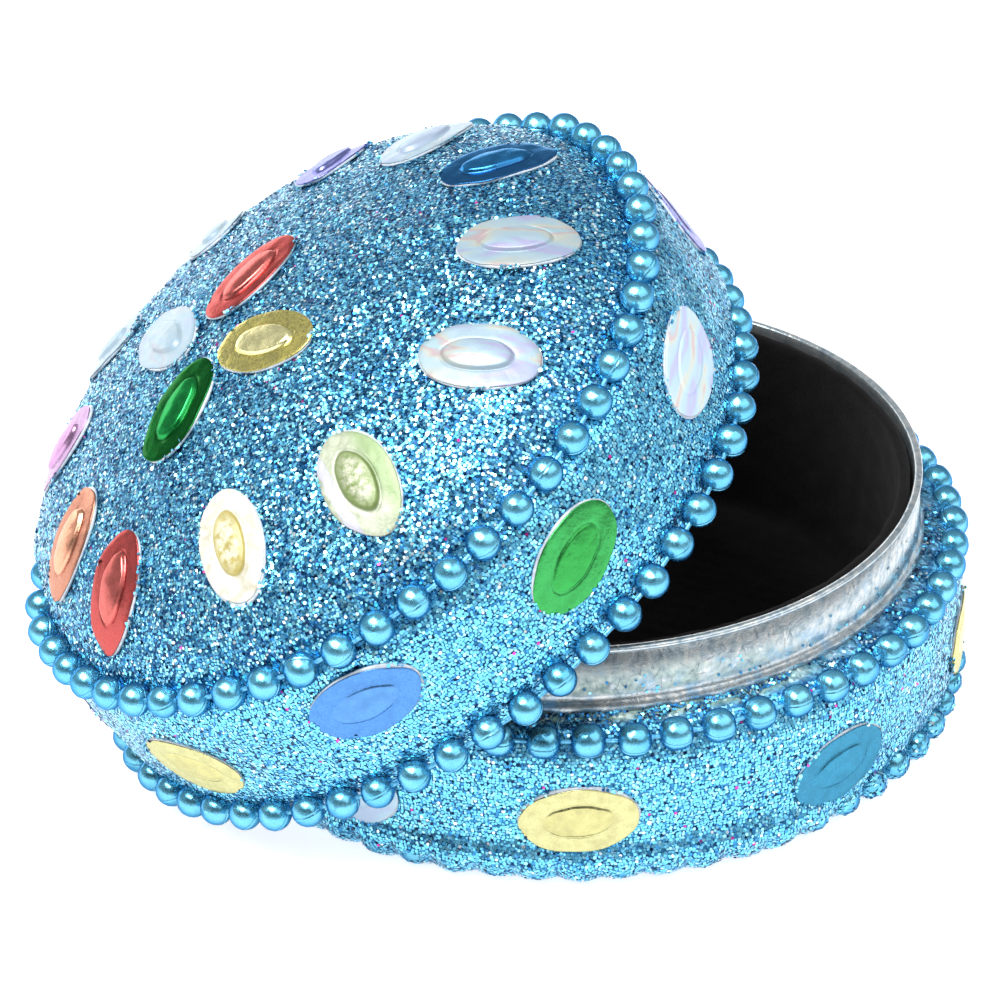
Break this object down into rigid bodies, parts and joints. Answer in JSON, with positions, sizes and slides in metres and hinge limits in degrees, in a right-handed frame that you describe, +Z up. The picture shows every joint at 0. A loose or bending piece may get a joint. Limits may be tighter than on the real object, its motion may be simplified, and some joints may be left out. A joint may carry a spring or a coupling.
{
  "type": "sequin jewelry box",
  "caption": "Round domed trinket box with a glitter coat, strings of metallic beads and oval foil sequins, velvet lined, lid leaning on its base.",
  "frame": {"origin": "centre of the base's flat underside, on the ground", "axes": "+Z up along the base's axis; the lid leans on the -X side of the base and slightly toward -Y; -Y is the side seen in the picture"},
  "size_m": [0.086, 0.0767, 0.0527],
  "materials": {
    "tin": "bare spun aluminium, rubbed and lightly scratched",
    "coat": "hard resin full of hexagonal glitter flakes",
    "bead": "pearly metallic plastic",
    "velvet": "black cotton velvet, matt with a faint sheen",
    "red": "shiny foil on white plastic, red",
    "gold": "shiny foil on white plastic, gold",
    "green": "shiny foil on white plastic, green",
    "white": "shiny foil on white plastic, white",
    "orange": "shiny foil on white plastic, orange",
    "cream": "shiny foil on white plastic, cream",
    "leaf": "shiny foil on white plastic, leaf",
    "pearl": "shiny foil on white plastic, pearl",
    "navy": "shiny foil on white plastic, navy",
    "purple": "shiny foil on white plastic, purple",
    "pink": "shiny foil on white plastic, pink",
    "yellow": "shiny foil on white plastic, yellow",
    "blue": "shiny foil on white plastic, blue",
    "grass": "shiny foil on white plastic, grass",
    "teal": "shiny foil on white plastic, teal"
  },
  "bodies": {
    "root": {"base_tin": "tin", "base_lining": "velvet", "base_coat": "coat", "base_top_beads": "bead", "base_foot_beads": "bead", "lid_tin": "tin", "lid_lining": "velvet", "lid_coat": "coat", "lid_rim_beads": "bead", "lid_shoulder_beads": "bead", "dome_petal_01": "red", "dome_petal_02": "gold", "dome_petal_03": "green", "dome_petal_04": "white", "dome_sequin_01": "orange", "dome_sequin_02": "red", "dome_sequin_03": "cream", "dome_sequin_04": "leaf", "dome_sequin_05": "pearl", "dome_sequin_06": "pearl", "dome_sequin_07": "navy", "dome_sequin_08": "white", "dome_sequin_09": "purple", "dome_sequin_10": "white", "dome_sequin_11": "white", "dome_sequin_12": "pink", "lid_wall_sequin_01": "yellow", "lid_wall_sequin_02": "blue", "lid_wall_sequin_03": "grass", "lid_wall_sequin_04": "pearl", "lid_wall_sequin_05": "purple", "lid_wall_sequin_06": "red", "lid_wall_sequin_07": "gold", "lid_wall_sequin_08": "teal", "lid_wall_sequin_09": "leaf", "lid_wall_sequin_10": "pink", "base_wall_sequin_01": "yellow", "base_wall_sequin_02": "teal", "base_wall_sequin_03": "gold", "base_wall_sequin_04": "pearl", "base_wall_sequin_05": "red", "base_wall_sequin_06": "grass", "base_wall_sequin_07": "orange", "base_wall_sequin_08": "blue", "base_wall_sequin_09": "white"}
  },
  "joints": []
}
